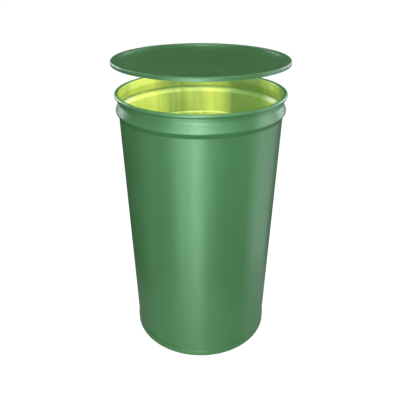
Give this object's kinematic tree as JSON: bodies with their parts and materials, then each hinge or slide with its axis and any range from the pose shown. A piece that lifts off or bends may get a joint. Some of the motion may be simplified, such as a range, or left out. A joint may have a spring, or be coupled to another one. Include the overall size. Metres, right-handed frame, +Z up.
{
  "type": "litter bin",
  "caption": "Round, slightly tapered sheet-steel litter bin with a rolled rim and shoulder bead, a flat lift-off lid and a lift-out inner liner.",
  "frame": {"origin": "middle of the base, on the floor under the chime", "axes": "+Z up along the bin's axis; the side seam is at +Y, the back; the liner's handles are at -X and +X"},
  "size_m": [0.4049, 0.405, 0.7327],
  "materials": {
    "body_paint": "satin green stoving enamel outside; the body's inside is yellow-green lacquer",
    "lid_paint": "satin green stoving enamel",
    "liner_lacquer": "glossy yellow-green lacquer",
    "seal_rubber": "matt moulded ring",
    "bright_steel": "zinc-plated wire and pressings"
  },
  "bodies": {
    "bin": {"body_shell": "body_paint", "rim_wire": "bright_steel", "base_pan": "body_paint"},
    "liner": {"liner_shell": "liner_lacquer", "liner_rim_wire": "bright_steel", "liner_base": "liner_lacquer", "handle_bracket_left": "bright_steel", "handle_bracket_right": "bright_steel", "handle_rivets": "bright_steel"},
    "lid": {"lid_panel": "lid_paint", "lid_gasket": "seal_rubber"},
    "handle_left": {"liner_handle_left": "bright_steel"},
    "handle_right": {"liner_handle_right": "bright_steel"}
  },
  "joints": [
    {"name": "liner_lift", "type": "slide", "parent": "bin", "child": "liner", "axis": [0, 0, 1], "range_m": [0, 0.66]},
    {"name": "lid_lift", "type": "slide", "parent": "liner", "child": "lid", "axis": [0, 0, 1], "range_m": [-0.0695, 0.25]},
    {"name": "handle_left_hinge", "type": "hinge", "parent": "liner", "child": "handle_left", "pos_m": [-0.16618, 0, 0.5252], "axis": [0, -1, 0], "range_deg": [0, 170]},
    {"name": "handle_right_hinge", "type": "hinge", "parent": "liner", "child": "handle_right", "pos_m": [0.16618, 0, 0.5252], "axis": [0, 1, 0], "range_deg": [0, 170]}
  ]
}
